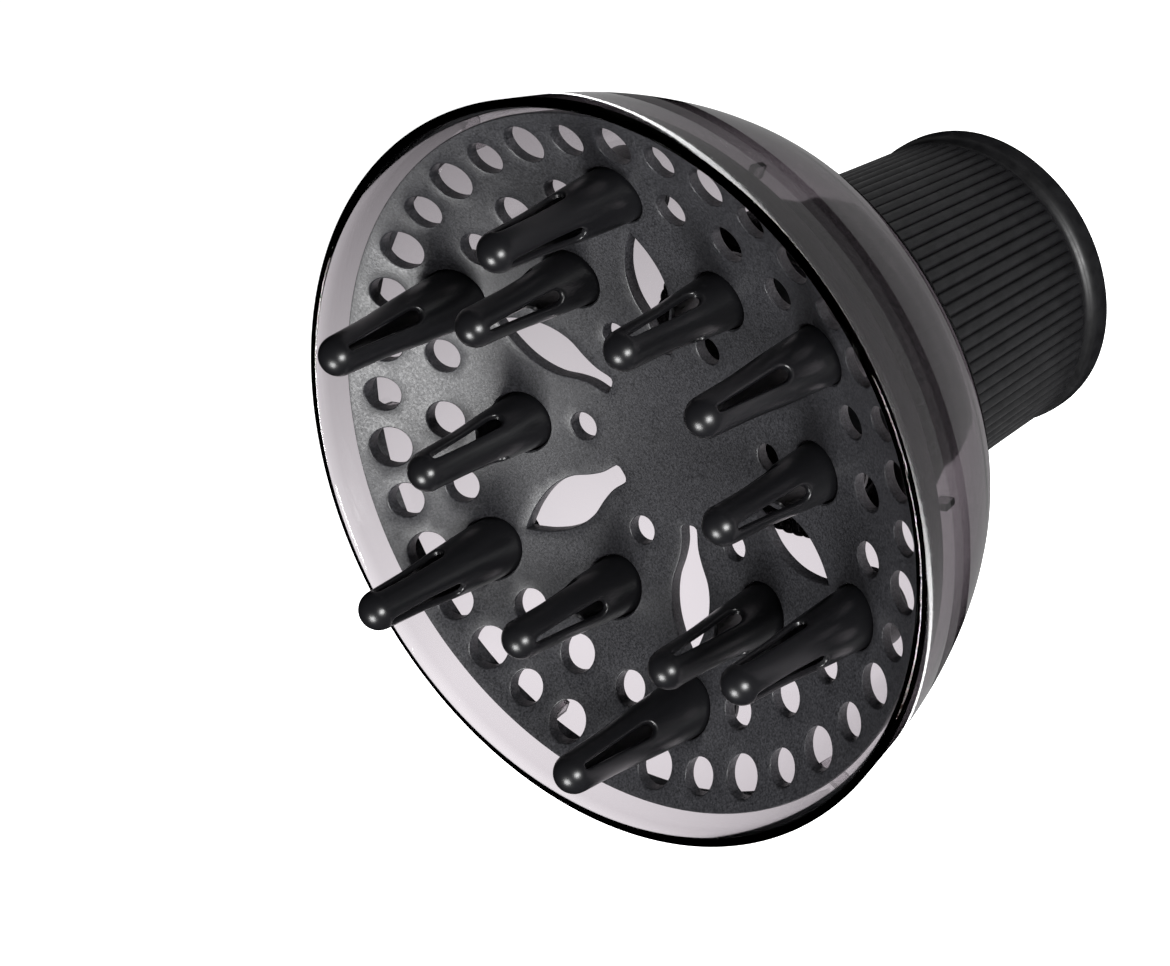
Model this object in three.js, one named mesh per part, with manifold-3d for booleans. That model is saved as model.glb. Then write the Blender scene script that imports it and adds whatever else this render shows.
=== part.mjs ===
// Hair-dryer diffuser: a clear smoked bowl, a perforated dished front plate carrying twelve
// hollow slotted fingers, and a ribbed rubber sleeve that pushes onto the dryer's nozzle.
//
// Units are millimetres. Z is the axis of symmetry and points towards the hair. Z = 0 is the
// sleeve's open end, on which the diffuser stands.
import * as THREE from 'three';
import { mergeVertices } from 'three/addons/utils/BufferGeometryUtils.js';
import Module from 'manifold-3d';

const wasm = await Module();
wasm.setup();

// ---- driving dimensions -------------------------------------------------------------------

const FOLD = 6; // everything repeats six times round the axis
const STEP = (2 * Math.PI) / FOLD;
const GAP = 0.35; // clearance between pieces that touch or slide

// front plate: a shallow dish, so its surface height follows a sphere
const HOLE_RING_Z = 122.8; // height of the front surface at the outer ring of holes
const HOLE_RING_R = 70.8;
const DISH_R = 172; // radius of the sphere that the front surface follows
const PLATE_R = 77.9;
const PLATE_T = 3;
const SKIRT_T = 1.3;
const SKIRT_BOTTOM_Z = 119.3;

// air holes: [ring radius, hole radius, count, angle of the first hole in degrees]
const HOLE_RINGS = [
  [HOLE_RING_R, 4.45, 18, 5], // large holes of the outer ring
  [HOLE_RING_R, 3.8, 18, 15], // small holes of the outer ring, between the large ones
  [57.9, 4.15, 6, 0], // middle ring, outside the inner fingers
  [57.9, 3.75, 6, 15], // middle ring, either side of each outer finger
  [57.9, 3.75, 6, 45],
  [25.4, 3.1, 6, 0], // inner ring
];
const HOLE_SIDES = 10;
const PLATE_SIDES = 36; // one flat per hole of the outer ring, so no hole crosses a meridian

// leaf-shaped slots, one under each outer finger: half-width at each radius from the stem out
const LEAF = [
  [19.4, 1.5],
  [20.3, 2.1],
  [24.0, 2.15],
  [27.5, 3.1],
  [31.5, 4.7],
  [35.5, 5.15],
  [39.5, 4.6],
  [43.5, 3.05],
  [46.3, 1.4],
];
const LEAF_TIP = 48.3;

// fingers: the same tapered tube, longer in the outer ring
const OUTER_FINGERS = { radius: 57.7, tipZ: 154.0, seatZ: 111.1, phase: Math.PI / 6 };
const INNER_FINGERS = { radius: 40.5, tipZ: 142.7, seatZ: 107.0, phase: 0 };
const FINGER_PROFILE = [
  // [distance below the centre of the domed tip, outside radius]
  [0, 4.45],
  [6, 4.65],
  [11, 4.85],
  [16, 5.25],
  [21, 5.7],
  [26, 6.05],
  [31, 6.35],
];
const FINGER_FOOT_R = 6.55;
const FINGER_WALL = 1.35;
const FINGER_SIDES = 12;
const FLANGE_R = 8.3;
const FLANGE_T = 1.6;
const BOSS_R = 8.8;
const SLOTS_PER_FINGER = 3;
const SLOT_TOP = { below: 0.6, radius: 0.8 }; // narrow end, just under the dome
const SLOT_FOOT = { below: 19.4, radius: 1.95 }; // wide end

// bowl: outside profile as [radius, z] from the rim to the neck
const BOWL_OUTSIDE = [
  [82.9, 132.4],
  [80.7, 122.8],
  [78.7, 114.8],
  [76.0, 106.8],
  [72.6, 98.8],
  [68.9, 91.7],
  [64.7, 85.7],
  [57.2, 79.8],
  [47.5, 75.4],
  [38.0, 72.9],
  [31.0, 71.9],
];
const BOWL_WALL = 2.3;
const BOWL_STEPS = 11;
const BOWL_SIDES = 60;
const NECK_R = 30.6;
const NECK_WALL = 2.2;
const NECK_BOTTOM_Z = 50;
// thin upright ribs inside the bowl, on which the plate's skirt rests
const SEAT_RIB = { innerR: 73.4, outerR: 77.9, width: 1.4, height: 4.5 };

// sleeve: ribbed from just above the lip up to the bowl
const RIBS = 80;
const RIB_DEPTH = 1;
const NOZZLE_R = 30.2; // bore at the mouth, which the dryer's nozzle goes into
const NOZZLE_TAPER = 0.8;
const SHOULDER_T = 2.2; // inner shoulder that the neck stops against
const LIP_FLAT_R = 32.4;
const BORE_SIDES = 40;
const SLEEVE_TOP_Z = 71.2;
const RIBS_BOTTOM_Z = 8.2;
const RIBS_TOP_Z = 69.8;
const SLEEVE_CRESTS = [
  // crest [radius, z] of the ribs, from the lip up
  [33.3, 9.2],
  [33.6, 15],
  [34.4, 28],
  [35.6, 45],
  [36.8, 62],
  [37.0, RIBS_TOP_Z],
];
const SLEEVE_TOP_R = 36.1;

// ---- solids -------------------------------------------------------------------------------

function toSolid(geometry) {
  const bare = geometry.index ? geometry.clone() : mergeVertices(geometry.clone());
  bare.deleteAttribute('normal');
  bare.deleteAttribute('uv');
  const merged = mergeVertices(bare, 1e-4);
  const mesh = new wasm.Mesh({
    numProp: 3,
    vertProperties: new Float32Array(merged.attributes.position.array),
    triVerts: new Uint32Array(merged.index.array),
  });
  return new wasm.Manifold(mesh);
}

function toGeometry(solid) {
  const mesh = solid.getMesh();
  const geometry = new THREE.BufferGeometry();
  geometry.setAttribute('position', new THREE.BufferAttribute(mesh.vertProperties, 3));
  geometry.setIndex(new THREE.BufferAttribute(mesh.triVerts, 1));
  geometry.computeVertexNormals();
  return geometry;
}

// A solid of revolution about Z from [radius, z] points going anticlockwise round the section
// as seen with the radius to the right and z up. The section closes on itself or on the axis.
function revolve(points, sides) {
  const section = points.map(([r, z]) => new THREE.Vector2(Math.max(r, 0), z));
  const geometry = new THREE.LatheGeometry(section, sides);
  geometry.rotateX(Math.PI / 2);
  return geometry;
}

function closed(points) {
  return [...points, points[0]];
}

function drum(radius, low, high, sides = HOLE_SIDES) {
  const geometry = new THREE.CylinderGeometry(radius, radius, high - low, sides);
  geometry.rotateX(Math.PI / 2);
  geometry.translate(0, 0, (low + high) / 2);
  return geometry;
}

function at(geometry, radius, angle) {
  geometry.translate(radius, 0, 0);
  geometry.rotateZ(angle);
  return geometry;
}

// Points on a smooth curve through [radius, z] knots.
function smooth(knots, steps) {
  const curve = new THREE.SplineCurve(knots.map(([r, z]) => new THREE.Vector2(r, z)));
  return curve.getPoints(steps).map((p) => [p.x, p.y]);
}

// The same polyline moved sideways by a distance, to the left of its direction of travel.
function offset(points, distance) {
  return points.map(([r, z], i) => {
    const [r0, z0] = points[Math.max(i - 1, 0)];
    const [r1, z1] = points[Math.min(i + 1, points.length - 1)];
    const length = Math.hypot(r1 - r0, z1 - z0);
    return [r - ((z1 - z0) / length) * distance, z + ((r1 - r0) / length) * distance];
  });
}

// ---- front plate --------------------------------------------------------------------------

function dishZ(radius) {
  return HOLE_RING_Z + Math.sqrt(DISH_R ** 2 - HOLE_RING_R ** 2) - Math.sqrt(DISH_R ** 2 - radius ** 2);
}

// The dish between two depths below the front surface, out to a radius.
function dishSlab(top, bottom, radius) {
  const radii = [0, 16, 32, 49.5, 63.5, radius];
  const upper = radii.map((r) => [r, dishZ(r) - top]);
  const lower = radii.map((r) => [r, bottom === null ? SKIRT_BOTTOM_Z - 30 : dishZ(r) - bottom]);
  return toSolid(revolve([...lower, ...upper.reverse()], PLATE_SIDES));
}

function leafCutter() {
  const shape = new THREE.Shape();
  const [stemR, stemW] = LEAF[0];
  shape.moveTo(stemR, -stemW);
  LEAF.slice(1).forEach(([r, w]) => shape.lineTo(r, -w));
  shape.lineTo(LEAF_TIP, 0);
  [...LEAF].reverse().forEach(([r, w]) => shape.lineTo(r, w));
  shape.closePath();
  const geometry = new THREE.ExtrudeGeometry(shape, { depth: 40, bevelEnabled: false });
  geometry.translate(0, 0, 95);
  return geometry;
}

function fingerSpots() {
  const spots = [];
  for (let i = 0; i < FOLD; i += 1) {
    [OUTER_FINGERS, INNER_FINGERS].forEach((ring) => {
      spots.push({ ...ring, angle: ring.phase + i * STEP });
    });
  }
  return spots.sort((a, b) => a.angle - b.angle);
}

function frontPlate() {
  const edgeZ = dishZ(PLATE_R);
  let plate = dishSlab(0, PLATE_T, PLATE_R - 1);
  // the skirt leans in as the bowl's wall does
  const lean = PLATE_R - 0.9;
  plate = plate.add(
    toSolid(
      revolve(
        closed([
          [lean - SKIRT_T, SKIRT_BOTTOM_Z],
          [lean - 0.5, SKIRT_BOTTOM_Z],
          [PLATE_R, edgeZ - 1],
          [PLATE_R - 0.5, edgeZ],
          [PLATE_R - SKIRT_T - 0.4, dishZ(PLATE_R - SKIRT_T - 0.4) - 0.2],
        ]),
        PLATE_SIDES,
      ),
    ),
  );
  const underSurface = dishSlab(1, null, PLATE_R - 3);
  fingerSpots().forEach(({ radius, seatZ, angle }) => {
    const boss = toSolid(at(drum(BOSS_R, seatZ, seatZ + 14, FINGER_SIDES), radius, angle));
    plate = plate.add(boss.intersect(underSurface));
  });
  fingerSpots().forEach(({ radius, angle }) => {
    plate = plate.subtract(toSolid(at(drum(FINGER_FOOT_R + GAP, 90, 140, FINGER_SIDES), radius, angle)));
  });
  HOLE_RINGS.forEach(([ringR, holeR, count, first]) => {
    for (let i = 0; i < count; i += 1) {
      const angle = THREE.MathUtils.degToRad(first + (360 / count) * i);
      plate = plate.subtract(toSolid(at(drum(holeR, 90, 140), ringR, angle)));
    }
  });
  for (let i = 0; i < FOLD; i += 1) {
    plate = plate.subtract(toSolid(at(leafCutter(), 0, OUTER_FINGERS.phase + i * STEP)));
  }
  return toGeometry(plate);
}

// ---- fingers ------------------------------------------------------------------------------

// The slot's outline: a narrow round end above and a wide round end below, joined by tangents.
function slotCutter() {
  const drop = SLOT_FOOT.below - SLOT_TOP.below;
  const lean = Math.asin((SLOT_FOOT.radius - SLOT_TOP.radius) / drop);
  const shape = new THREE.Shape();
  shape.absarc(0, -SLOT_TOP.below, SLOT_TOP.radius, lean, Math.PI - lean, false);
  shape.absarc(0, -SLOT_FOOT.below, SLOT_FOOT.radius, Math.PI - lean, 2 * Math.PI + lean, false);
  const geometry = new THREE.ExtrudeGeometry(shape, { depth: 10, bevelEnabled: false, curveSegments: 3 });
  geometry.rotateX(Math.PI / 2); // outline upright, cutting along -Y
  geometry.rotateZ(Math.PI / 2); // cutting along +X
  return geometry;
}

function finger({ radius, tipZ, seatZ, angle }) {
  const tipR = FINGER_PROFILE[0][1];
  const flangeTop = seatZ - GAP;
  const flangeBottom = flangeTop - FLANGE_T;
  const depth = tipZ - seatZ;
  const shaft = FINGER_PROFILE.filter(([below]) => below < depth - 4);
  const dome = (r, steps) =>
    Array.from({ length: steps }, (_, i) => {
      const a = ((i + 1) / (steps + 1)) * (Math.PI / 2);
      return [r * Math.cos(a), tipZ + r * Math.sin(a)];
    });
  const outside = [
    [FLANGE_R, flangeBottom],
    [FLANGE_R, flangeTop],
    [FINGER_FOOT_R, flangeTop],
    [FINGER_FOOT_R, tipZ - depth + 5],
    ...shaft.reverse().map(([below, r]) => [r, tipZ - below]),
    ...dome(tipR, 2),
    [0, tipZ + tipR],
  ];
  const boreR = tipR - FINGER_WALL;
  const bore = [
    [0, flangeBottom - 1],
    [FINGER_FOOT_R - FINGER_WALL, flangeBottom - 1],
    [FINGER_FOOT_R - FINGER_WALL, seatZ + 2],
    [boreR, tipZ],
    ...dome(boreR, 1),
    [0, tipZ + boreR],
  ];
  let solid = toSolid(revolve([[0, flangeBottom], ...outside], FINGER_SIDES));
  solid = solid.subtract(toSolid(revolve(bore, 8)));
  for (let i = 0; i < SLOTS_PER_FINGER; i += 1) {
    const cutter = slotCutter();
    cutter.rotateZ((2 * Math.PI * i) / SLOTS_PER_FINGER);
    cutter.translate(0, 0, tipZ);
    solid = solid.subtract(toSolid(cutter));
  }
  const geometry = toGeometry(solid);
  at(geometry, radius, angle);
  return geometry;
}

// ---- bowl and neck ------------------------------------------------------------------------

function bowl() {
  const outside = smooth(BOWL_OUTSIDE, BOWL_STEPS).reverse();
  const inside = offset(outside, BOWL_WALL).filter(([r]) => r > NECK_R - NECK_WALL + 1.5);
  const rimZ = BOWL_OUTSIDE[0][1];
  inside[inside.length - 1][1] = rimZ; // the rim is a flat ring
  const neckIn = NECK_R - NECK_WALL;
  const section = [
    [neckIn, NECK_BOTTOM_Z],
    [NECK_R, NECK_BOTTOM_Z],
    [NECK_R, outside[0][1] - 0.6],
    ...outside,
    ...inside.reverse(),
    [neckIn, inside[inside.length - 1][1] - 0.9],
  ];
  let solid = toSolid(revolve(closed(section), BOWL_SIDES));
  for (let i = 0; i < FOLD; i += 1) {
    const { innerR, outerR, width, height } = SEAT_RIB;
    const rib = new THREE.BoxGeometry(outerR - innerR, width, height);
    rib.translate(0, 0, SKIRT_BOTTOM_Z - GAP - height / 2);
    solid = solid.add(toSolid(at(rib, (outerR + innerR) / 2, INNER_FINGERS.phase + i * STEP)));
  }
  return toGeometry(solid);
}

// ---- sleeve -------------------------------------------------------------------------------

function sleeve() {
  const boreR = NECK_R + GAP;
  const shoulderZ = NECK_BOTTOM_Z - GAP;
  const body = revolve(
    [
      [0, 0],
      [LIP_FLAT_R, 0],
      [33.5, 1.2],
      [33.75, 4.4],
      [32.4, RIBS_BOTTOM_Z],
      ...SLEEVE_CRESTS,
      [SLEEVE_TOP_R, SLEEVE_TOP_Z],
      [0, SLEEVE_TOP_Z],
    ],
    RIBS * 2,
  );
  // every second meridian of the ribbed stretch sinks to the groove between two ribs
  const position = body.attributes.position;
  const point = new THREE.Vector3();
  for (let i = 0; i < position.count; i += 1) {
    point.fromBufferAttribute(position, i);
    const r = Math.hypot(point.x, point.y);
    const column = Math.round((Math.atan2(point.y, point.x) / Math.PI) * RIBS);
    const ribbed = r > 32.6 && point.z > RIBS_BOTTOM_Z && point.z < SLEEVE_TOP_Z - 0.1;
    if (ribbed && Math.abs(column) % 2 === 1) {
      const scale = (r - RIB_DEPTH) / r;
      position.setXY(i, point.x * scale, point.y * scale);
    }
  }
  const bore = revolve(
    [
      [0, -1],
      [NOZZLE_R, -1],
      [NOZZLE_R - NOZZLE_TAPER, shoulderZ - SHOULDER_T],
      [NECK_R - NECK_WALL, shoulderZ - SHOULDER_T],
      [NECK_R - NECK_WALL, shoulderZ],
      [boreR, shoulderZ],
      [boreR, SLEEVE_TOP_Z + 1],
      [0, SLEEVE_TOP_Z + 1],
    ],
    BORE_SIDES,
  );
  return toGeometry(toSolid(body).subtract(toSolid(bore)));
}

// ---- assembly -----------------------------------------------------------------------------

function material(colour, roughness, metalness = 0) {
  return new THREE.MeshStandardMaterial({ color: colour, roughness, metalness });
}

const smokedPlastic = material(0x4a484b, 0.12);
smokedPlastic.transparent = true;
smokedPlastic.opacity = 0.4;
const grainedPlastic = material(0x35353a, 0.55);
const satinPlastic = material(0x0c0c0e, 0.32);
const blackRubber = material(0x151517, 0.7);

function piece(name, geometry, finish) {
  const mesh = new THREE.Mesh(geometry, finish);
  mesh.name = name;
  return mesh;
}

const diffuser = new THREE.Group();
diffuser.add(piece('bowl_shell', bowl(), smokedPlastic));
diffuser.add(piece('finger_plate', frontPlate(), grainedPlastic));
fingerSpots().forEach((spot, i) => {
  const number = String(i + 1).padStart(2, '0');
  diffuser.add(piece(`finger_${number}`, finger(spot), satinPlastic));
});
diffuser.add(piece('adapter_sleeve', sleeve(), blackRubber));

export default diffuser;
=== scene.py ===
"""Looks of the hair-dryer diffuser: fine surfaces, materials, light and camera round its frame.

Meshes are worked out in millimetres and written in metres. Z is the axis of symmetry and points
towards the hair; the sleeve's open end is at Z = 0.
"""

import math

import bmesh
import bpy
import numpy as np
from mathutils import Matrix, Vector, geometry

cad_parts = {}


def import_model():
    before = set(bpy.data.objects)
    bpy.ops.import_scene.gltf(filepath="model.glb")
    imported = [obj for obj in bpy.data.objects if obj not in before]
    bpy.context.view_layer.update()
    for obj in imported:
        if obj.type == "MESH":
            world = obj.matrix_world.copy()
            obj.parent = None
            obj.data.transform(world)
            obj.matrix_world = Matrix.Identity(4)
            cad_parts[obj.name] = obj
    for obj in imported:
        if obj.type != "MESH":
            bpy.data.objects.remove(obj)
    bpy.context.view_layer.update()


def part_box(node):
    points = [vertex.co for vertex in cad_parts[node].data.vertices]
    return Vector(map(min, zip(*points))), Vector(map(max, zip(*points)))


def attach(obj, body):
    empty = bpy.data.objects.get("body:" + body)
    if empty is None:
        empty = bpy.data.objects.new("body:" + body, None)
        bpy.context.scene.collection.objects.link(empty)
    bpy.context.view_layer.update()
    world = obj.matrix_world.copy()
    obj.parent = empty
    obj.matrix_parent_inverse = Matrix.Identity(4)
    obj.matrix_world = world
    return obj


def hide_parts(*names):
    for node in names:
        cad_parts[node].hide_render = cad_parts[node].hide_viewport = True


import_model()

MM = 0.001
FOLD = 6  # everything repeats six times round the axis


def box_mm(node):
    low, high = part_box(node)
    return np.array(low) / MM, np.array(high) / MM


BOWL_LOW = box_mm("bowl_shell")[0]
PLATE_HIGH = box_mm("finger_plate")[1]
SLEEVE_HIGH = box_mm("adapter_sleeve")[1]

# ---- dimensions in millimetres --------------------------------------------------------------

# front plate: its front surface follows a sphere
DISH_R = 172.0
PLATE_R = PLATE_HIGH[0]
PLATE_T = 3.0
PLATE_EDGE = 0.6  # rounding of the plate's own edge
PLATE_SIDES = 300
SKIRT_T = 1.3
SKIRT_LEAN = 1.4  # how far the skirt's foot is inside the plate's edge
SKIRT_DROP = 6.9  # from the plate's top edge down to the skirt's foot
HOLE_EDGE = 0.32  # rounding of the edges of the holes
HOLE_SIDES = 44
SHEET_STEP = 2.4  # spacing of the points that fill the plate's two faces

# air holes: ring radius, hole radius, count, angle of the first hole in degrees
HOLE_RINGS = [
    (70.8, 4.45, 18, 5),
    (70.8, 3.8, 18, 15),
    (57.9, 4.15, 6, 0),
    (57.9, 3.75, 6, 15),
    (57.9, 3.75, 6, 45),
    (25.4, 3.1, 6, 0),
]

# leaf-shaped slots: half-width at each radius, from the stem out to the tip
LEAF = [
    (19.4, 0.0),
    (19.5, 1.3),
    (20.3, 2.05),
    (24.0, 2.15),
    (27.5, 3.1),
    (31.5, 4.7),
    (35.5, 5.15),
    (39.5, 4.6),
    (43.5, 3.05),
    (46.3, 1.4),
    (48.3, 0.0),
]

# fingers
TIP_R = 4.45
FINGER_PROFILE = [  # distance below the centre of the domed tip, outside radius
    (0, 4.45),
    (6, 4.65),
    (11, 4.85),
    (16, 5.25),
    (21, 5.7),
    (26, 6.05),
    (31, 6.35),
    (36, 6.55),
    (60, 6.55),
]
FINGER_WALL = 1.35
FOOT_R = 6.55
FLANGE_T = 1.6
SOCKET_GAP = 0.3
BOSS_R = 8.8
BOSS_ABOVE_FLANGE = 0.35
SLOTS = 3
SLOT_TOP = (-0.6, 0.8)  # height of the narrow end's centre over the dome's, and its radius
SLOT_FOOT = (-19.4, 1.95)
SLOT_EDGE = 0.55

# bowl
BOWL_OUTSIDE = [
    (82.9, 132.4),
    (80.7, 122.8),
    (78.7, 114.8),
    (76.0, 106.8),
    (72.6, 98.8),
    (68.9, 91.7),
    (64.7, 85.7),
    (57.2, 79.8),
    (47.5, 75.4),
    (38.0, 72.9),
    (31.0, 71.9),
]
BOWL_WALL = 2.3
BOWL_SIDES = 256
RIM_WALL = 1.9  # the wall thins a little at the rim
RIM_EDGE = 0.7  # rounding of the rim's two edges
SEAT_GAP = 0.35  # clearance under the skirt, and round the neck
NECK_R = 30.6
NECK_WALL = 2.2
NECK_BEND = 2.6  # inside radius where the bowl turns into the neck
NECK_MOUTH_R = 31.0  # where that bend starts
SEAT_RIB = (73.4, 77.9, 1.4, 4.5)  # inner radius, outer radius, width and height of the ribs inside the bowl

# sleeve
RIBS = 80
RIB_COLUMNS = 14  # mesh columns to one rib
RIB_DEPTH = 1.3
MOUTH_R = 30.2
BORE_R = 29.4
SHOULDER_Z = (47.45, 49.65)


# ---- mesh building --------------------------------------------------------------------------


class Surface:
    """Points in millimetres and faces, gathered ring by ring."""

    def __init__(self):
        self.points = []
        self.faces = []

    def ring(self, points):
        start = len(self.points)
        self.points.extend(tuple(p) for p in points)
        return list(range(start, len(self.points)))

    def band(self, a, b):
        """Quads between two closed rings of the same length."""
        n = len(a)
        for i in range(n):
            j = (i + 1) % n
            self.faces.append((a[i], a[j], b[j], b[i]))

    def bands(self, rings):
        for a, b in zip(rings, rings[1:]):
            self.band(a, b)

    def cap(self, ring, point):
        centre = self.ring([point])[0]
        for i in range(len(ring)):
            self.faces.append((ring[i], ring[(i + 1) % len(ring)], centre))

    def build(self, name, sharp=35):
        mesh = bpy.data.meshes.new(name)
        mesh.from_pydata([tuple(c * MM for c in p) for p in self.points], [], self.faces)
        bm = bmesh.new()
        bm.from_mesh(mesh)
        bmesh.ops.remove_doubles(bm, verts=bm.verts, dist=2e-7)
        bmesh.ops.recalc_face_normals(bm, faces=bm.faces)
        bm.to_mesh(mesh)
        bm.free()
        finish_mesh(mesh, sharp)
        obj = bpy.data.objects.new(name, mesh)
        bpy.context.scene.collection.objects.link(obj)
        return obj


def finish_mesh(mesh, sharp):
    mesh.shade_smooth()
    mesh.set_sharp_from_angle(angle=math.radians(sharp))


def smooth(knots, count):
    """Points along a Catmull-Rom curve through the knots."""
    p = np.array(knots, float)
    p = np.vstack([2 * p[0] - p[1], p, 2 * p[-1] - p[-2]])
    out = []
    for t in np.linspace(0, len(knots) - 1, count):
        i = min(int(t), len(knots) - 2)
        u = t - i
        a, b, c, d = p[i : i + 4]
        out.append(
            0.5 * (2 * b + (c - a) * u + (2 * a - 5 * b + 4 * c - d) * u**2 + (3 * b - a - 3 * c + d) * u**3)
        )
    return np.array(out)


def resample(points, count):
    """count points at even steps along an open line, its first point in and its last one out."""
    points = np.array(points, float)
    run = np.concatenate([[0], np.cumsum(np.linalg.norm(np.diff(points, axis=0), axis=1))])
    at = np.linspace(0, run[-1], count + 1)[:-1]
    return np.column_stack([np.interp(at, run, points[:, k]) for k in range(points.shape[1])])


def sideways(points, distance):
    """An open line moved to the left of its direction of travel."""
    points = np.array(points, float)
    along = np.gradient(points, axis=0)
    along /= np.linalg.norm(along, axis=1)[:, None]
    return points + distance * np.column_stack([-along[:, 1], along[:, 0]])


def circle(radius, sides, z, centre=(0.0, 0.0), start=0.0):
    a = start + np.arange(sides) * 2 * math.pi / sides
    x = centre[0] + radius * np.cos(a)
    y = centre[1] + radius * np.sin(a)
    return np.column_stack([x, y, np.full(sides, z)])


def revolve(name, section, sides, sharp=35):
    """A closed (radius, z) section turned round Z."""
    surface = Surface()
    rings = [surface.ring(circle(r, sides, z)) for r, z in section]
    surface.bands(rings + rings[:1])
    return surface.build(name, sharp)


def join(obj, others):
    """Adds closed pieces to a closed piece, as one solid."""
    for other in others:
        union = obj.modifiers.new("union", "BOOLEAN")
        union.operation = "UNION"
        union.solver = "MANIFOLD"
        union.object = other
    bpy.context.view_layer.update()
    mesh = bpy.data.meshes.new_from_object(obj.evaluated_get(bpy.context.evaluated_depsgraph_get()))
    obj.modifiers.clear()
    obj.data = mesh
    for other in others:
        bpy.data.objects.remove(other)
    finish_mesh(mesh, 35)
    return obj


# ---- front plate ----------------------------------------------------------------------------


def dish_z(radius):
    """Height of the plate's front surface."""
    edge = math.sqrt(DISH_R**2 - PLATE_R**2)
    return PLATE_HIGH[2] + edge - np.sqrt(DISH_R**2 - np.asarray(radius) ** 2)


def fill(outline, holes, step):
    """Triangles between a ring of 2-D points and the rings inside it.

    Returns the points that are added and the triangles, which count the outline's points
    first, then each hole's, then the added ones.
    """
    fixed = np.vstack([outline] + holes)
    edges = []
    start = 0
    for ring in [outline] + holes:
        n = len(ring)
        edges += [(start + i, start + (i + 1) % n) for i in range(n)]
        start += n
    reach = np.abs(outline).max()
    rows = np.arange(-reach, reach, step * math.sqrt(3) / 2)
    columns = np.arange(-reach, reach, step)
    grid = np.array([(x + (k % 2) * step / 2, y) for k, y in enumerate(rows) for x in columns])
    grid = grid[np.hypot(*grid.T) < np.hypot(*outline[0]) - step * 0.6]
    near = np.array([np.min(np.hypot(*(fixed - p).T)) for p in grid])
    grid = grid[near > step * 0.5]
    for hole in holes:
        grid = grid[~inside(grid, hole)]
    points = np.vstack([fixed, grid])
    found = geometry.delaunay_2d_cdt([Vector(p) for p in points], edges, [], 0, 1e-7, True)
    source = [ids[0] for ids in found[3]]
    triangles = np.array([[source[v] for v in face] for face in found[2]])
    middle = points[triangles].mean(axis=1)
    keep = inside(middle, outline)
    for hole in holes:
        keep &= ~inside(middle, hole)
    return grid, triangles[keep]


def inside(points, ring):
    """Which 2-D points lie in a closed ring."""
    centre = ring.mean(axis=0)
    hit = np.zeros(len(points), bool)
    close = np.hypot(*(points - centre).T) <= np.hypot(*(ring - centre).T).max()
    x, y = points[close].T
    odd = np.zeros(len(x), bool)
    for (x0, y0), (x1, y1) in zip(ring, np.roll(ring, -1, axis=0)):
        crosses = (y0 > y) != (y1 > y)
        rise = y1 - y0 if y1 != y0 else 1.0
        odd ^= crosses & (x < x0 + (x1 - x0) * (y - y0) / rise)
    hit[close] = odd
    return hit


def turned(points, angle):
    c, s = math.cos(angle), math.sin(angle)
    return np.asarray(points) @ np.array([[c, s], [-s, c]])


def outward(ring):
    """Unit normals of a closed ring that runs anticlockwise."""
    along = np.roll(ring, -1, axis=0) - np.roll(ring, 1, axis=0)
    along /= np.linalg.norm(along, axis=1)[:, None]
    return np.column_stack([along[:, 1], -along[:, 0]])


def leaf_outline():
    side = resample(smooth(LEAF, 200), 44)
    lower = np.column_stack([side[:, 0], -side[:, 1]])
    upper = side[::-1][:-1]
    tip = np.array([[LEAF[-1][0], 0.0]])
    return np.vstack([lower, tip, upper])


def plate_holes():
    """Every plain hole of the plate: its ring of wall points, anticlockwise."""
    holes = []
    for ring_r, hole_r, count, first in HOLE_RINGS:
        for i in range(count):
            a = math.radians(first + 360 / count * i)
            centre = (ring_r * math.cos(a), ring_r * math.sin(a))
            holes.append(circle(hole_r, HOLE_SIDES, 0, centre)[:, :2])
    leaf = leaf_outline()
    for i in range(FOLD):
        holes.append(turned(leaf, math.radians(30 + 60 * i)))
    return holes


def plate_point(xy, depth):
    """Points of the plate a depth below its front surface."""
    return np.column_stack([xy, dish_z(np.hypot(*xy.T)) - depth])


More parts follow.
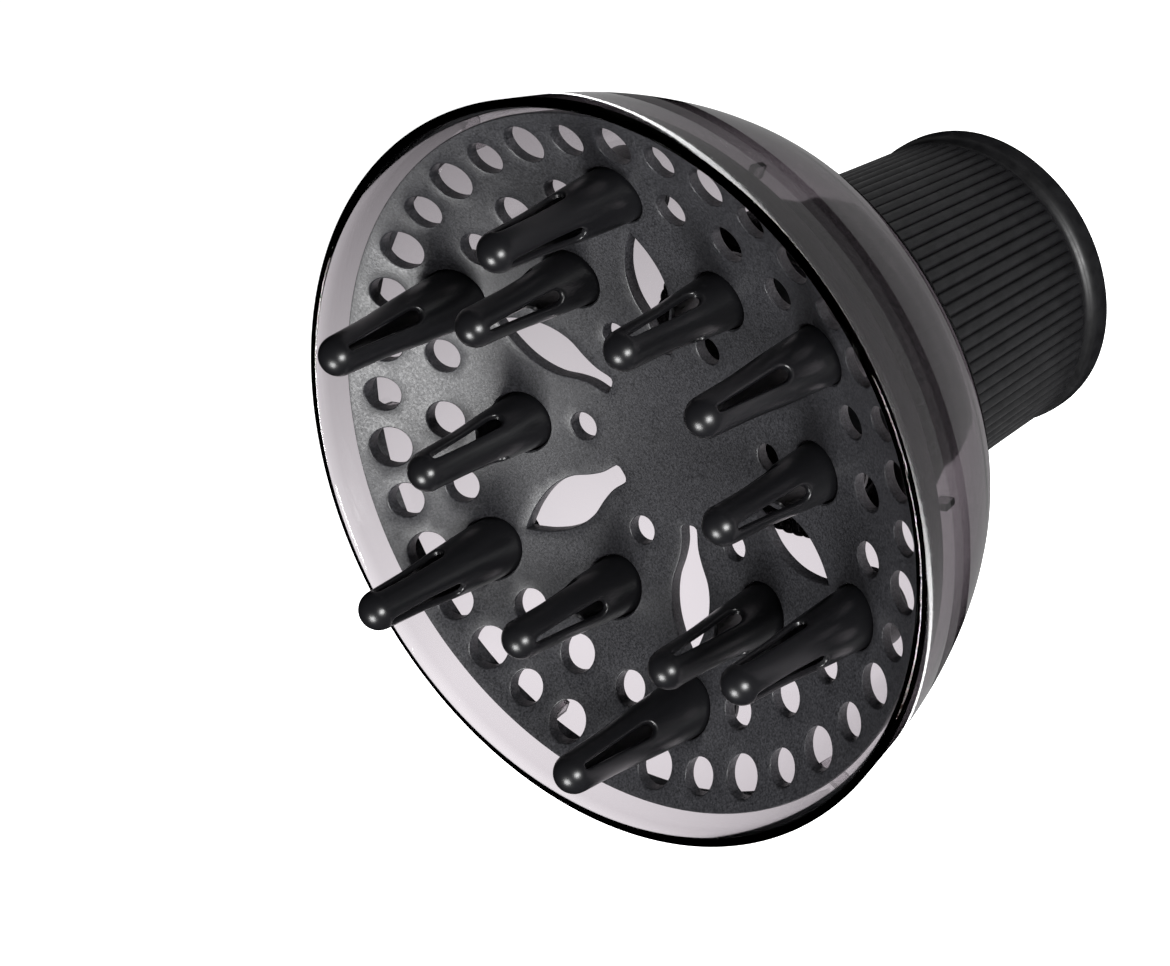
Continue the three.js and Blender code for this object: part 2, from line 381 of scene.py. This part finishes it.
def front_plate():
    surface = Surface()
    edge_steps = [math.radians(a) for a in (0, 30, 60, 90)]
    top_rings, bottom_rings = [], []
    for wall in plate_holes():
        normals = outward(wall)
        rings = []
        for t in edge_steps:
            grown = wall + normals * HOLE_EDGE * (1 - math.sin(t))
            rings.append(surface.ring(plate_point(grown, HOLE_EDGE * (1 - math.cos(t)))))
        for t in reversed(edge_steps):
            grown = wall + normals * HOLE_EDGE * (1 - math.sin(t))
            rings.append(surface.ring(plate_point(grown, PLATE_T - HOLE_EDGE * (1 - math.cos(t)))))
        surface.bands(rings)
        top_rings.append(rings[0])
        bottom_rings.append(rings[-1])
    for node in FINGER_NODES:
        low, high = box_mm(node)
        centre = (low + high)[:2] / 2
        seat = low[2] + FLANGE_T + BOSS_ABOVE_FLANGE
        socket = FOOT_R + SOCKET_GAP

        def loop(radius):
            return circle(radius, HOLE_SIDES, 0, centre)[:, :2]

        rings = [
            surface.ring(plate_point(loop(socket + HOLE_EDGE), 0)),
            surface.ring(plate_point(loop(socket), HOLE_EDGE)),
            surface.ring(circle(socket, HOLE_SIDES, seat, centre)),
            surface.ring(circle(BOSS_R - 0.4, HOLE_SIDES, seat, centre)),
            surface.ring(circle(BOSS_R, HOLE_SIDES, seat + 0.4, centre)),
            surface.ring(plate_point(loop(BOSS_R), PLATE_T)),
        ]
        surface.bands(rings)
        top_rings.append(rings[0])
        bottom_rings.append(rings[-1])
    top_z = PLATE_HIGH[2]
    foot_z = top_z - SKIRT_DROP
    foot_r = PLATE_R - SKIRT_LEAN
    under_r = PLATE_R - SKIRT_T - 0.3
    section = [(PLATE_R - PLATE_EDGE, dish_z(PLATE_R - PLATE_EDGE))]
    for a in (30, 60, 90):
        t = math.radians(a)
        radius = PLATE_R - PLATE_EDGE * (1 - math.sin(t))
        section.append((radius, top_z - 0.15 - PLATE_EDGE * (1 - math.cos(t))))
    section += [
        (foot_r, foot_z + 0.3),
        (foot_r - 0.3, foot_z),
        (foot_r - SKIRT_T + 0.3, foot_z),
        (foot_r - SKIRT_T, foot_z + 0.3),
        (under_r, dish_z(under_r) - PLATE_T),
    ]
    rings = [surface.ring(circle(r, PLATE_SIDES, z)) for r, z in section]
    surface.bands(rings)
    for edge, holes, depth in ((rings[0], top_rings, 0), (rings[-1], bottom_rings, PLATE_T)):
        flat = [np.array([surface.points[i][:2] for i in ring]) for ring in [edge] + holes]
        added, triangles = fill(flat[0], flat[1:], SHEET_STEP)
        index = list(edge)
        for ring in holes:
            index += ring
        index += surface.ring(plate_point(added, depth))
        surface.faces += [tuple(index[v] for v in t) for t in triangles]
    return surface.build("front_plate")


# ---- fingers --------------------------------------------------------------------------------

SIDE_STEPS = 22
BASE_STEPS = 14
SECTOR = 2 * math.pi / SLOTS
SHEET_LOW = -24.5
SHEET_HIGH = 2.2


def slot_outline(grow):
    """The slot's outline as (across, height), anticlockwise from the foot's lower left."""
    top_z, top_r = SLOT_TOP
    foot_z, foot_r = SLOT_FOOT
    lean = math.asin((foot_r - top_r) / (top_z - foot_z))

    def arc(height, radius, a0, a1):
        a = np.radians(np.linspace(a0, a1, 24))
        return np.column_stack([(radius + grow) * np.cos(a), height + (radius + grow) * np.sin(a)])

    tilt = math.degrees(lean)
    base = arc(foot_z, foot_r, -135, -45)
    right = np.vstack([arc(foot_z, foot_r, -45, tilt), arc(top_z, top_r, tilt, 45)])
    top = arc(top_z, top_r, 45, 135)
    left = right[::-1] * [-1, 1]
    sides = ((base, BASE_STEPS), (right, SIDE_STEPS), (top, BASE_STEPS), (left, SIDE_STEPS))
    return np.vstack([resample(line, count) for line, count in sides])


def sector_outline():
    """The edge of a slot's third of the finger, as (angle, height), matched to slot_outline."""
    half = SECTOR / 2
    corners = [(-half, SHEET_LOW), (half, SHEET_LOW), (half, SHEET_HIGH), (-half, SHEET_HIGH)]
    corners += corners[:1]
    counts = [BASE_STEPS, SIDE_STEPS, BASE_STEPS, SIDE_STEPS]
    return np.vstack([resample([a, b], n) for a, b, n in zip(corners, corners[1:], counts)])


def finger(node):
    low, high = box_mm(node)
    centre = (low + high)[:2] / 2
    tip_z = high[2] - TIP_R
    facing = math.atan2(centre[1], centre[0])
    curve = smooth(FINGER_PROFILE, 120)

    def shaft_r(height):
        return np.interp(-np.asarray(height), curve[:, 0], curve[:, 1])

    def skin(angle, height, depth):
        """Points a depth under the outside. Over the dome's equator height is a length of arc."""
        arc = np.clip(height, 0, None) / TIP_R
        r = np.where(height > 0, (TIP_R - depth) * np.cos(arc), shaft_r(height) - depth)
        z = np.where(height > 0, tip_z + (TIP_R - depth) * np.sin(arc), tip_z + height)
        a = angle + facing
        return np.column_stack([centre[0] + r * np.cos(a), centre[1] + r * np.sin(a), z])

    surface = Surface()
    edge = sector_outline()
    for i in range(SLOTS):
        turn = i * SECTOR

        def ring(grow, depth, share=0.0):
            across, height = slot_outline(grow).T
            angle = across / shaft_r(np.minimum(height, 0))
            flat = np.column_stack([angle, height]) * (1 - share) + edge * share
            return surface.ring(skin(flat[:, 0] + turn, flat[:, 1], depth))

        shares = (1.0, 0.78, 0.55, 0.34, 0.16)
        outside = [ring(SLOT_EDGE, 0.0, share) for share in shares]
        rounding = []
        for a in (0, 22.5, 45, 67.5, 90):
            t = math.radians(a)
            rounding.append(ring(SLOT_EDGE * (1 - math.sin(t)), SLOT_EDGE * (1 - math.cos(t))))
        wall = [ring(0.0, FINGER_WALL - 0.15), ring(0.15, FINGER_WALL)]
        hollow = [ring(0.15, FINGER_WALL, share) for share in reversed(shares)]
        surface.bands(outside + rounding + wall + hollow)

    columns = np.arange(SLOTS * BASE_STEPS) * SECTOR / BASE_STEPS - SECTOR / 2

    def hoop(height, depth):
        return surface.ring(skin(columns, np.full(len(columns), height), depth))

    def disc(radius, z):
        return surface.ring(circle(radius, len(columns), z, centre, columns[0] + facing))

    pole = TIP_R * math.pi / 2
    for depth in (0.0, FINGER_WALL):
        rings = [hoop(h, depth) for h in np.linspace(SHEET_HIGH, pole, 9)[:-1]]
        surface.bands(rings)
        surface.cap(rings[-1], (centre[0], centre[1], tip_z + TIP_R - depth))
    flange_top = low[2] + FLANGE_T
    flange_r = (high[0] - low[0]) / 2
    outer = [hoop(h, 0.0) for h in np.linspace(SHEET_LOW, flange_top + 1 - tip_z, 6)]
    outer += [disc(FOOT_R, flange_top), disc(flange_r - 0.3, flange_top), disc(flange_r, flange_top - 0.3)]
    outer += [disc(flange_r, low[2] + 0.3), disc(flange_r - 0.3, low[2]), disc(FOOT_R - FINGER_WALL, low[2])]
    inner = [hoop(h, FINGER_WALL) for h in np.linspace(flange_top + 1 - tip_z, SHEET_LOW, 6)]
    surface.bands(outer + inner)
    return surface.build(node + "_fine")


# ---- bowl -----------------------------------------------------------------------------------


def rounded_corner(corner, before, after, radius, steps=4):
    """Points of a curve that cuts a section's corner, from the side of before to after."""
    corner, before, after = (np.array(p, float) for p in (corner, before, after))
    a = corner + (before - corner) / np.linalg.norm(before - corner) * radius
    b = corner + (after - corner) / np.linalg.norm(after - corner) * radius
    along = np.linspace(0, 1, steps + 1)
    return [tuple(a * (1 - t) ** 2 + 2 * corner * t * (1 - t) + b * t**2) for t in along]


def bowl_section():
    outside = smooth(BOWL_OUTSIDE, 61)[::-1]  # from the neck up to the rim
    inside_line = sideways(outside, BOWL_WALL)
    rim_z = BOWL_OUTSIDE[0][1]
    below_rim = rim_z - 1.2  # the rounded rim takes over from here
    inside_line = inside_line[(inside_line[:, 0] > NECK_MOUTH_R + 0.5) & (inside_line[:, 1] < below_rim)]
    outside = outside[outside[:, 1] < below_rim]
    rim_out = (BOWL_OUTSIDE[0][0], rim_z)
    rim_in = (BOWL_OUTSIDE[0][0] - RIM_WALL, rim_z)
    neck_in = NECK_R - NECK_WALL
    bend_z = inside_line[0][1] - 0.1
    bottom = BOWL_LOW[2]
    section = []
    section += rounded_corner((neck_in, bottom), (neck_in, bottom + 9), (NECK_R, bottom), 0.4)
    section += rounded_corner((NECK_R, bottom), (neck_in, bottom), (NECK_R, bottom + 9), 0.4)
    section += [(NECK_R, outside[0][1] - 0.8), (NECK_R + 0.1, outside[0][1] - 0.3)]
    section += [tuple(p) for p in outside]
    section += rounded_corner(rim_out, outside[-1], rim_in, RIM_EDGE)
    section += rounded_corner(rim_in, rim_out, inside_line[-1], RIM_EDGE)
    section += [tuple(p) for p in inside_line[::-1]]
    for a in np.radians(np.linspace(0, 90, 9)):
        section.append((NECK_MOUTH_R - NECK_BEND * math.sin(a), bend_z - NECK_BEND * (1 - math.cos(a))))
    return section


def bowl():
    shell = revolve("bowl", bowl_section(), BOWL_SIDES)
    inner_r, outer_r, width, height = SEAT_RIB
    top_z = PLATE_HIGH[2] - SKIRT_DROP - SEAT_GAP
    ribs = []
    for i in range(FOLD):
        bm = bmesh.new()
        bmesh.ops.create_cube(bm, size=1.0)
        bmesh.ops.scale(bm, vec=Vector((outer_r - inner_r, width, height)) * MM, verts=bm.verts)
        bmesh.ops.bevel(bm, geom=bm.edges[:], offset=0.3 * MM, segments=3, affect="EDGES", profile=0.5)
        middle = Vector(((inner_r + outer_r) / 2, 0, top_z - height / 2)) * MM
        bmesh.ops.translate(bm, vec=middle, verts=bm.verts)
        turn = Matrix.Rotation(math.radians(60 * i), 3, "Z")
        bmesh.ops.rotate(bm, cent=(0, 0, 0), matrix=turn, verts=bm.verts)
        mesh = bpy.data.meshes.new("seat_rib")
        bm.to_mesh(mesh)
        bm.free()
        rib = bpy.data.objects.new("seat_rib", mesh)
        bpy.context.scene.collection.objects.link(rib)
        ribs.append(rib)
    return join(shell, ribs)


# ---- sleeve ---------------------------------------------------------------------------------

SLEEVE_PROFILE = [  # radius, height, share of the full rib depth
    (MOUTH_R, 0.35, 0),
    (MOUTH_R + 0.35, 0.0, 0),
    (32.4, 0.0, 0),
    (33.1, 0.25, 0),
    (33.55, 0.8, 0),
    (33.75, 1.8, 0),
    (33.8, 3.2, 0),
    (33.75, 4.6, 0),
    (33.45, 5.6, 0),
    (32.9, 6.1, 0),
    (32.3, 6.5, 0),
    (32.1, 7.3, 0),
    (32.3, 8.0, 0.0),
    (32.9, 8.25, 0.6),
    (33.15, 8.7, 0.9),
    (33.3, 9.6, 1),
]

SLEEVE_CRESTS = [  # crest radius and height of the ribs, from the lip up
    (33.35, 11),
    (33.6, 15),
    (34.4, 28),
    (35.6, 45),
    (36.8, 62),
    (37.0, 68.4),
]


def sleeve_section():
    top = SLEEVE_HIGH[2]
    section = list(SLEEVE_PROFILE)
    section += [(r, z, 1) for r, z in smooth(SLEEVE_CRESTS, 24)]
    section += [(36.8, top - 1.2, 0.9), (36.4, top - 0.4, 0.6), (35.8, top, 0.2)]
    bore = NECK_R + SEAT_GAP
    section += [(bore + 0.4, top, 0), (bore, top - 0.4, 0)]
    section += [(bore, 60, 0), (bore, SHOULDER_Z[1], 0), (NECK_R - NECK_WALL, SHOULDER_Z[1], 0)]
    section += [(NECK_R - NECK_WALL, SHOULDER_Z[0], 0), (BORE_R, SHOULDER_Z[0], 0)]
    for t in (0.25, 0.5, 0.75):
        section.append((BORE_R + (MOUTH_R - BORE_R) * t, SHOULDER_Z[0] * (1 - t) + 0.35 * t, 0))
    return section


def sleeve():
    count = RIBS * RIB_COLUMNS
    angle = np.arange(count) * 2 * math.pi / count
    across = np.abs((np.arange(count) % RIB_COLUMNS) * 2 / RIB_COLUMNS - 1)  # 0 on a crest, 1 in a groove
    groove = 1 - np.sqrt(1 - (0.985 * across) ** 2)
    surface = Surface()
    rings = []
    for r, z, share in sleeve_section():
        radius = r - RIB_DEPTH * share * groove
        points = np.column_stack([radius * np.cos(angle), radius * np.sin(angle), np.full(count, z)])
        rings.append(surface.ring(points))
    surface.bands(rings + rings[:1])
    return surface.build("sleeve", sharp=60)


# ---- materials ------------------------------------------------------------------------------


def material(name, colour, roughness, **sockets):
    mat = bpy.data.materials.new(name)
    mat.use_nodes = True
    shader = mat.node_tree.nodes["Principled BSDF"]
    shader.inputs["Base Color"].default_value = (*colour, 1)
    shader.inputs["Roughness"].default_value = roughness
    for key, value in sockets.items():
        shader.inputs[key.replace("_", " ")].default_value = value
    return mat, shader


def noise(mat, grain, detail=2.0, rough=0.5):
    """A noise of blotches about grain millimetres across, fixed to the piece."""
    tree = mat.node_tree
    place = tree.nodes.new("ShaderNodeTexCoord")
    node = tree.nodes.new("ShaderNodeTexNoise")
    node.inputs["Scale"].default_value = 1 / (grain * MM)
    node.inputs["Detail"].default_value = detail
    node.inputs["Roughness"].default_value = rough
    tree.links.new(place.outputs["Object"], node.inputs["Vector"])
    return node.outputs["Fac"]


def spread(mat, value, low, high, from_low=0.3, from_high=0.7):
    """Maps a noise, or another value between two ends, onto a range of numbers."""
    node = mat.node_tree.nodes.new("ShaderNodeMapRange")
    node.inputs["From Min"].default_value = from_low
    node.inputs["From Max"].default_value = from_high
    node.inputs["To Min"].default_value = low
    node.inputs["To Max"].default_value = high
    mat.node_tree.links.new(value, node.inputs["Value"])
    return node.outputs["Result"]


def two_tone(mat, value, dark, light):
    ramp = mat.node_tree.nodes.new("ShaderNodeValToRGB")
    ramp.color_ramp.elements[0].position = 0.38
    ramp.color_ramp.elements[0].color = (*dark, 1)
    ramp.color_ramp.elements[1].position = 0.68
    ramp.color_ramp.elements[1].color = (*light, 1)
    mat.node_tree.links.new(value, ramp.inputs["Fac"])
    return ramp.outputs["Color"]


def bump(mat, shader, value, height, strength=1.0):
    """Relief of a height in millimetres."""
    node = mat.node_tree.nodes.new("ShaderNodeBump")
    node.inputs["Strength"].default_value = strength
    node.inputs["Distance"].default_value = height * MM
    mat.node_tree.links.new(value, node.inputs["Height"])
    mat.node_tree.links.new(node.outputs["Normal"], shader.inputs["Normal"])


def graphite_plastic():
    mat, shader = material("graphite_plastic", (0.016, 0.016, 0.018), 0.4)
    link = mat.node_tree.links.new
    speckle = noise(mat, 0.45, detail=3, rough=0.7)
    link(two_tone(mat, speckle, (0.008, 0.008, 0.0095), (0.044, 0.044, 0.049)), shader.inputs["Base Color"])
    link(spread(mat, noise(mat, 0.6, detail=2), 0.33, 0.47), shader.inputs["Roughness"])
    bump(mat, shader, noise(mat, 0.5, detail=2), 0.05, 0.5)
    return mat


def black_satin_plastic():
    mat, shader = material("black_satin_plastic", (0.006, 0.006, 0.007), 0.3)
    link = mat.node_tree.links.new
    link(spread(mat, noise(mat, 5, detail=2), 0.28, 0.32), shader.inputs["Roughness"])
    bump(mat, shader, noise(mat, 0.35, detail=1), 0.004, 0.3)
    return mat


def black_rubber():
    mat, shader = material("black_rubber", (0.009, 0.009, 0.01), 0.55)
    link = mat.node_tree.links.new
    dust = noise(mat, 3.5, detail=4, rough=0.6)
    link(two_tone(mat, dust, (0.003, 0.003, 0.0035), (0.006, 0.006, 0.0067)), shader.inputs["Base Color"])
    link(spread(mat, noise(mat, 1.8, detail=3), 0.4, 0.52), shader.inputs["Roughness"])
    bump(mat, shader, noise(mat, 0.25, detail=2), 0.02, 0.5)
    return mat


def smoked_clear():
    mat, shader = material("smoked_clear", (1, 1, 1), 0.03, Transmission_Weight=1.0, IOR=1.49)
    link = mat.node_tree.links.new
    link(spread(mat, noise(mat, 9, detail=3), 0.02, 0.04), shader.inputs["Roughness"])
    absorb = mat.node_tree.nodes.new("ShaderNodeVolumeAbsorption")
    absorb.inputs["Color"].default_value = (0.305, 0.265, 0.295, 1)
    absorb.inputs["Density"].default_value = 690
    link(absorb.outputs["Volume"], mat.node_tree.nodes["Material Output"].inputs["Volume"])
    return mat


# ---- pieces ---------------------------------------------------------------------------------

FINGER_NODES = [f"finger_{i:02d}" for i in range(1, 2 * FOLD + 1)]
FINISH = {m.__name__: m() for m in (graphite_plastic, black_satin_plastic, black_rubber, smoked_clear)}


def dress(obj, slot, body, node):
    obj.data.materials.clear()
    obj.data.materials.append(FINISH[slot])
    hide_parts(node)
    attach(obj, body)


dress(bowl(), "smoked_clear", "bowl", "bowl_shell")
dress(front_plate(), "graphite_plastic", "front", "finger_plate")
for finger_node in FINGER_NODES:
    dress(finger(finger_node), "black_satin_plastic", "front", finger_node)
dress(sleeve(), "black_rubber", "adapter", "adapter_sleeve")


# ---- floor, light, camera -------------------------------------------------------------------

HOLE_RING = Vector((0, 0, 122.8 * MM))  # centre of the outer ring of holes, which the camera frames


def direction(azimuth, elevation):
    a, e = math.radians(azimuth), math.radians(elevation)
    return Vector((math.cos(e) * math.cos(a), math.cos(e) * math.sin(a), math.sin(e)))


def floor():
    """A floor that glows brighter than white, more so towards -X, and shows through the smoked bowl."""
    mesh = bpy.data.meshes.new("floor")
    half = 3.0
    corners = [(-half, -half, 0), (half, -half, 0), (half, half, 0), (-half, half, 0)]
    mesh.from_pydata(corners, [], [(0, 1, 2, 3)])
    obj = bpy.data.objects.new("floor", mesh)
    bpy.context.scene.collection.objects.link(obj)
    mat, shader = material("floor_white", (0.02, 0.02, 0.02), 0.9)
    shader.inputs["Emission Color"].default_value = (1, 1, 1, 1)
    place = mat.node_tree.nodes.new("ShaderNodeTexCoord")
    split = mat.node_tree.nodes.new("ShaderNodeSeparateXYZ")
    mat.node_tree.links.new(place.outputs["Object"], split.inputs["Vector"])
    glow = spread(mat, split.outputs["X"], 2.6, 1.02, -20 * MM, 100 * MM)
    mat.node_tree.links.new(glow, shader.inputs["Emission Strength"])
    mesh.materials.append(mat)
    obj.visible_glossy = False


GLOW_SIDES = 96
GLOW_Z = 2  # just over the floor
GLOW_RINGS = ((42, 88, 0.3), (98, 112, 0.1), (112, 126, 0.4), (126, 127.4, 5))  # radii, radiance


def glow_ring(inner, outer, radiance):
    """A lit ring on the floor, which only shows as a streak in the bowl's polish."""
    surface = Surface()
    edges = [surface.ring(circle(radius, GLOW_SIDES, GLOW_Z)) for radius in (inner, outer)]
    surface.band(*edges)
    obj = surface.build("glow_ring")
    mat, shader = material("glow", (0, 0, 0), 1.0)
    shader.inputs["Emission Color"].default_value = (1, 1, 1, 1)
    shader.inputs["Emission Strength"].default_value = radiance
    obj.data.materials.append(mat)
    obj.visible_camera = False
    obj.visible_transmission = False
    obj.visible_diffuse = False
    obj.visible_shadow = False


def softbox(name, azimuth, elevation, distance, size, watts):
    """A square soft light that faces the ring of holes."""
    light = bpy.data.lights.new(name, "AREA")
    light.shape = "RECTANGLE"
    light.size = size
    light.size_y = size
    light.energy = watts
    obj = bpy.data.objects.new(name, light)
    obj.location = HOLE_RING + direction(azimuth, elevation) * distance
    obj.rotation_euler = direction(azimuth, elevation).to_track_quat("Z", "Y").to_euler()
    bpy.context.scene.collection.objects.link(obj)


def world():
    """Soft light from all round, which the glossy pieces don't mirror."""
    scene_world = bpy.data.worlds.new("studio")
    scene_world.use_nodes = True
    back = scene_world.node_tree.nodes["Background"]
    back.inputs["Color"].default_value = (0.95, 0.95, 0.96, 1)
    back.inputs["Strength"].default_value = 0.3
    scene_world.cycles_visibility.glossy = False
    bpy.context.scene.world = scene_world


def camera():
    azimuth, elevation = -91.5, 42.87
    roll = 118.4  # the object's axis leans this far anticlockwise from the picture's up
    distance = 1.2254
    off_right, off_up = 0.0102, 0.0040  # how far the ring's centre is from the line of sight
    towards = direction(azimuth, elevation)
    level_up = (Vector((0, 0, 1)) - towards * towards.z).normalized()
    up = Matrix.Rotation(math.radians(-roll), 3, towards) @ level_up
    right = up.cross(towards)
    data = bpy.data.cameras.new("camera")
    data.sensor_width = 36
    data.lens = 180.8
    obj = bpy.data.objects.new("camera", data)
    rotation = Matrix((right, up, towards)).transposed()
    place = HOLE_RING + towards * distance - right * off_right - up * off_up
    obj.matrix_world = Matrix.Translation(place) @ rotation.to_4x4()
    bpy.context.scene.collection.objects.link(obj)
    bpy.context.scene.camera = obj


floor()
world()
for glow in GLOW_RINGS:
    glow_ring(*glow)
softbox("key", 148, 62, 1.0, 0.4, 11)
softbox("front", -115, 33, 1.1, 0.4, 15)
camera()
bpy.context.scene.view_settings.view_transform = "Standard"
